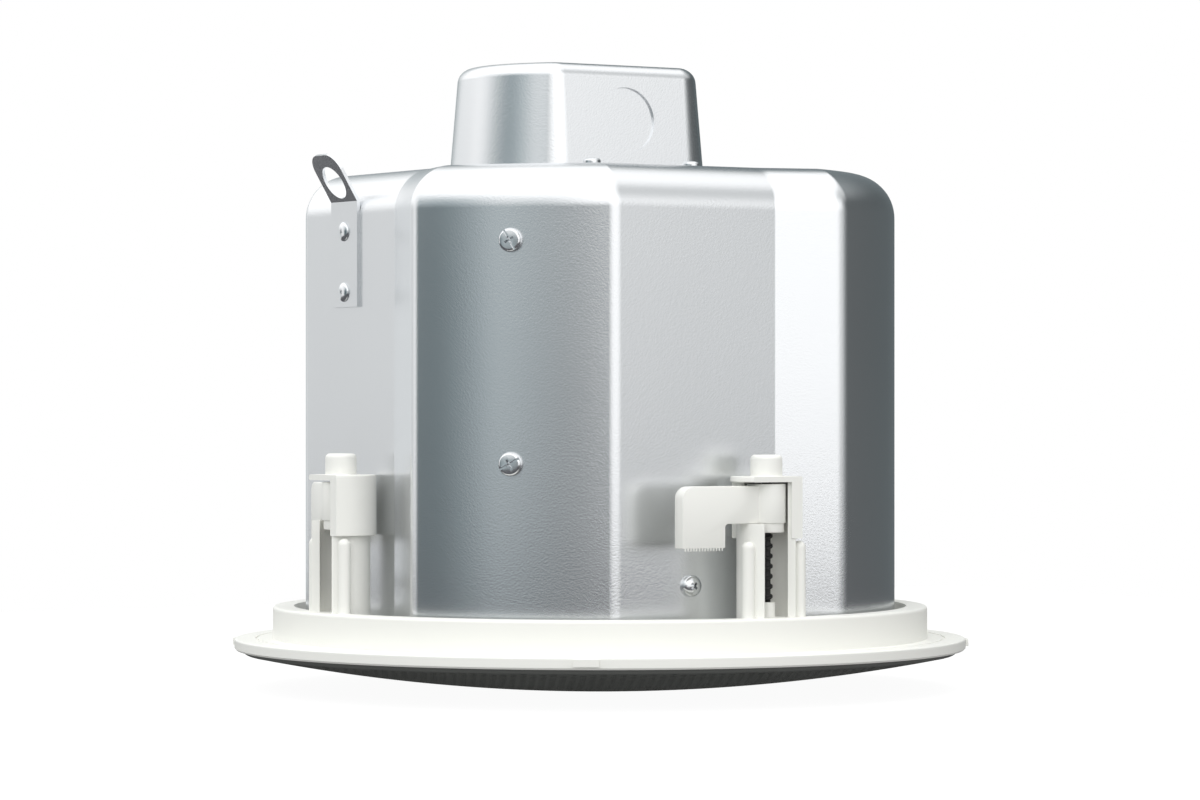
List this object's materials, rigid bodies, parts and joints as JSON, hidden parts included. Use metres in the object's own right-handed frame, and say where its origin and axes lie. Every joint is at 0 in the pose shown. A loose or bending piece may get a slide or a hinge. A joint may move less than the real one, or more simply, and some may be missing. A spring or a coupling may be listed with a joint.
{
  "type": "in-ceiling loudspeaker",
  "caption": "Round in-ceiling loudspeaker with a domed grille, a moulded bezel with swing-out clamps, a drawn steel back can and a terminal cover on top.",
  "frame": {"origin": "centre of the flange's ceiling face, on the neck's axis", "axes": "+Z along the neck's axis, up into the ceiling; -Y through the first clamp, +X through the second"},
  "size_m": [0.253, 0.253, 0.2135],
  "materials": {
    "bezel_plastic": "fine moulded texture",
    "grille_paint": "powder coat, satin",
    "zinc_steel": "drawn zinc-plated steel, satin grain",
    "screw_zinc": "bright zinc plate",
    "black_screw": "black oxide, oiled",
    "foam": "closed-cell foam",
    "felt": "pressed felt",
    "black_plastic": "moulded, matt",
    "core_iron": "varnished laminations",
    "coil_tape": "yellow winding tape",
    "copper_wire": "enamelled copper",
    "board": "solder resist",
    "capacitor_sleeve": "shrunk sleeve",
    "frame_paint": "black e-coat",
    "rubber": "matt",
    "cone_paper": "pressed black pulp",
    "spider_cloth": "resined cotton",
    "ferrite": "ground ferrite",
    "plate_steel": "plated iron",
    "silk": "coated silk"
  },
  "bodies": {
    "housing": {"baffle": "bezel_plastic", "grille": "grille_paint", "back_can": "zinc_steel", "can_gasket": "foam", "can_screws": "screw_zinc", "damping_felt": "felt", "terminal_cover": "zinc_steel", "terminal_cover_screws": "screw_zinc", "terminal_block": "black_plastic", "terminal_screws": "screw_zinc", "wire_grommet": "rubber", "seismic_tab": "zinc_steel", "seismic_tab_screws": "screw_zinc", "transformer_bracket": "plate_steel", "transformer_core": "core_iron", "transformer_coil": "coil_tape", "transformer_screws": "screw_zinc", "crossover_board": "board", "crossover_coil": "copper_wire", "crossover_capacitors": "capacitor_sleeve", "board_spacers": "plate_steel", "woofer_frame": "frame_paint", "woofer_screws": "black_screw", "surround": "rubber", "cone": "cone_paper", "spider": "spider_cloth", "voice_coil": "copper_wire", "top_plate": "plate_steel", "magnet": "ferrite", "pole_piece": "plate_steel", "tweeter_post": "plate_steel", "tweeter_housing": "black_plastic", "tweeter_dome": "silk", "tweeter_magnet": "ferrite", "clamp_cap_1": "bezel_plastic", "clamp_cap_2": "bezel_plastic", "clamp_cap_3": "bezel_plastic", "clamp_cap_4": "bezel_plastic"},
    "arm_1": {"clamp_arm_1": "bezel_plastic"},
    "screw_1": {"clamp_screw_1": "black_screw"},
    "arm_2": {"clamp_arm_2": "bezel_plastic"},
    "screw_2": {"clamp_screw_2": "black_screw"},
    "arm_3": {"clamp_arm_3": "bezel_plastic"},
    "screw_3": {"clamp_screw_3": "black_screw"},
    "arm_4": {"clamp_arm_4": "bezel_plastic"},
    "screw_4": {"clamp_screw_4": "black_screw"}
  },
  "joints": [
    {"name": "arm_swing_1", "type": "hinge", "parent": "housing", "child": "arm_1", "pos_m": [0, -0.1024, 0.0483], "axis": [0, 0, 1], "range_deg": [-19, 90]},
    {"name": "screw_turn_1", "type": "hinge", "parent": "housing", "child": "screw_1", "pos_m": [0, -0.1024, 0.03], "axis": [0, 0, 1], "continuous": true},
    {"name": "arm_swing_2", "type": "hinge", "parent": "housing", "child": "arm_2", "pos_m": [0.1024, 0, 0.0483], "axis": [0, 0, 1], "range_deg": [0, 109]},
    {"name": "screw_turn_2", "type": "hinge", "parent": "housing", "child": "screw_2", "pos_m": [0.1024, 0, 0.03], "axis": [0, 0, 1], "continuous": true},
    {"name": "arm_swing_3", "type": "hinge", "parent": "housing", "child": "arm_3", "pos_m": [0, 0.1024, 0.0483], "axis": [0, 0, 1], "range_deg": [0, 109]},
    {"name": "screw_turn_3", "type": "hinge", "parent": "housing", "child": "screw_3", "pos_m": [0, 0.1024, 0.03], "axis": [0, 0, 1], "continuous": true},
    {"name": "arm_swing_4", "type": "hinge", "parent": "housing", "child": "arm_4", "pos_m": [-0.1024, 0, 0.0483], "axis": [0, 0, 1], "range_deg": [0, 109]},
    {"name": "screw_turn_4", "type": "hinge", "parent": "housing", "child": "screw_4", "pos_m": [-0.1024, 0, 0.03], "axis": [0, 0, 1], "continuous": true}
  ]
}
